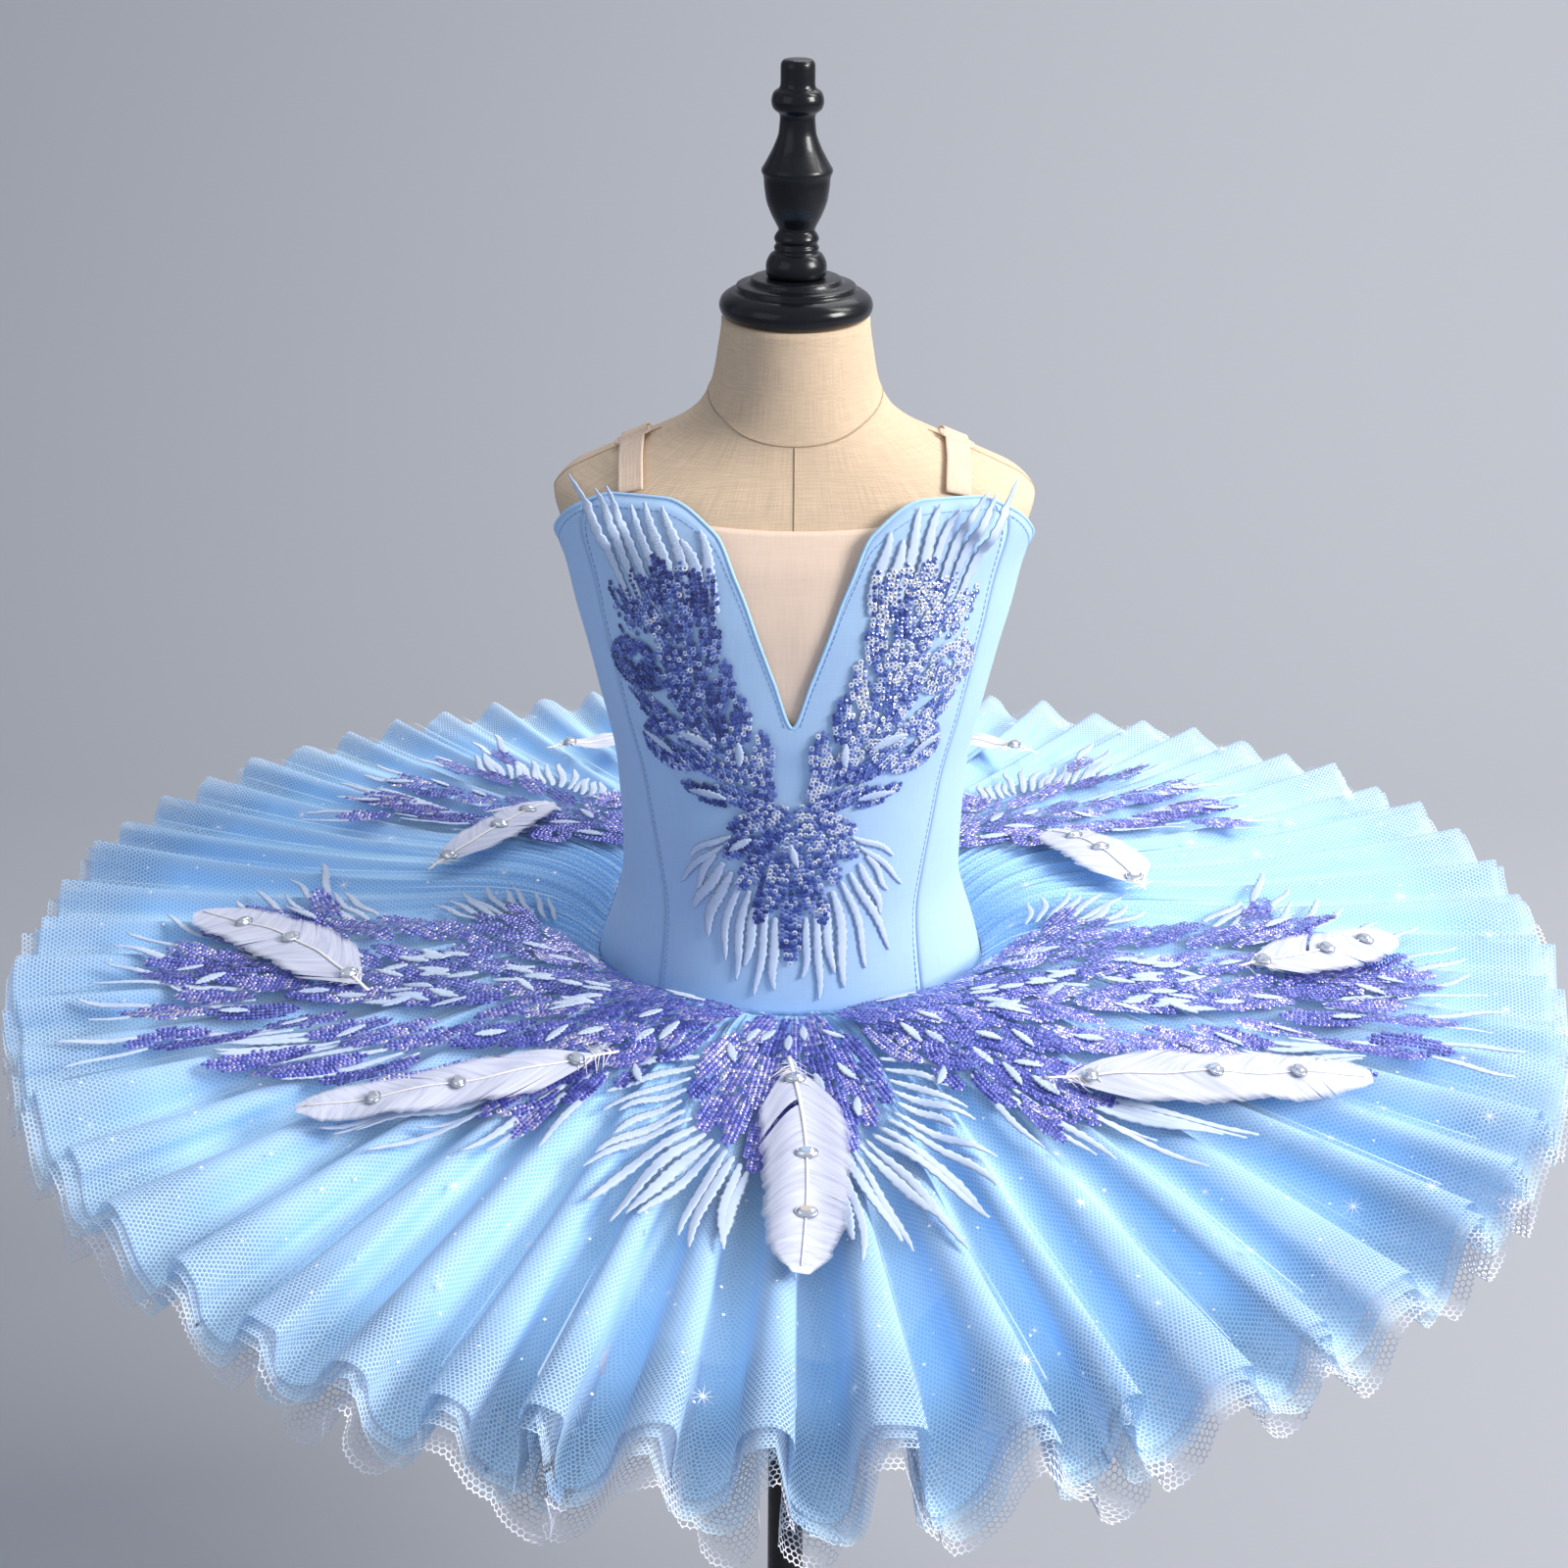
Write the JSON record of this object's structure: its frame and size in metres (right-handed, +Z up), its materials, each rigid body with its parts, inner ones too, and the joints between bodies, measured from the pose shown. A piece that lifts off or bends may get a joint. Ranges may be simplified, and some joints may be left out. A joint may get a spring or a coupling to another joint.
{
  "type": "ballet tutu on dress form",
  "caption": "Child's flat pleated ballet tutu with boned bodice, sequined wing trims and feathers, worn by a limbless linen dress form on a pole and round foot.",
  "frame": {"origin": "centre of the underside of the stand's round foot, on the floor", "axes": "+Z up along the pole and the form's neck, -Y towards the wearer's front, +X towards the wearer's left"},
  "size_m": [0.86, 0.86, 1.1326],
  "materials": {
    "black_metal": "satin black enamel",
    "linen": "natural woven linen",
    "black_lacquer": "turned wood, glossy black lacquer",
    "bodice_cloth": "light blue stretch cotton knit, matte",
    "nude_mesh": "fine stretch mesh in skin tone",
    "nude_elastic": "flat elastic in skin tone",
    "nude_plastic": "moulded slider in skin tone",
    "glitter_net": "sheer net with fine glitter",
    "blue_net": "pleated tulle, soft sheen",
    "stiff_net": "stiff hexagonal net, greyish white",
    "sequin_trim": "net backing with violet-blue sequins and silver-white satin stitch",
    "feather": "white goose feather with clear stones"
  },
  "bodies": {
    "root": {"foot": "black_metal", "pole": "black_metal", "form_torso": "linen", "neck_cap": "black_lacquer", "finial": "black_lacquer", "bodice_centre_front": "bodice_cloth", "bodice_side_right": "bodice_cloth", "bodice_side_left": "bodice_cloth", "bodice_back_right": "bodice_cloth", "bodice_back_left": "bodice_cloth", "neck_insert": "nude_mesh", "brief": "bodice_cloth", "strap_left": "nude_elastic", "strap_slider_left": "nude_plastic", "strap_right": "nude_elastic", "strap_slider_right": "nude_plastic", "cover_net": "glitter_net", "pleated_net_top": "blue_net", "pleated_net_middle": "blue_net", "stiff_net_under": "stiff_net", "trim_front": "sequin_trim", "trim_front_left": "sequin_trim", "trim_front_right": "sequin_trim", "trim_back_left": "sequin_trim", "trim_back_right": "sequin_trim", "trim_back": "sequin_trim", "feather_front": "feather", "feather_front_left": "feather", "feather_front_right": "feather", "feather_left": "feather", "feather_right": "feather", "feather_back_left": "feather", "feather_back_right": "feather", "feather_rear_left": "feather", "feather_rear_right": "feather", "trim_bodice_left": "sequin_trim", "trim_bodice_right": "sequin_trim", "trim_bodice_tail": "sequin_trim"}
  },
  "joints": []
}
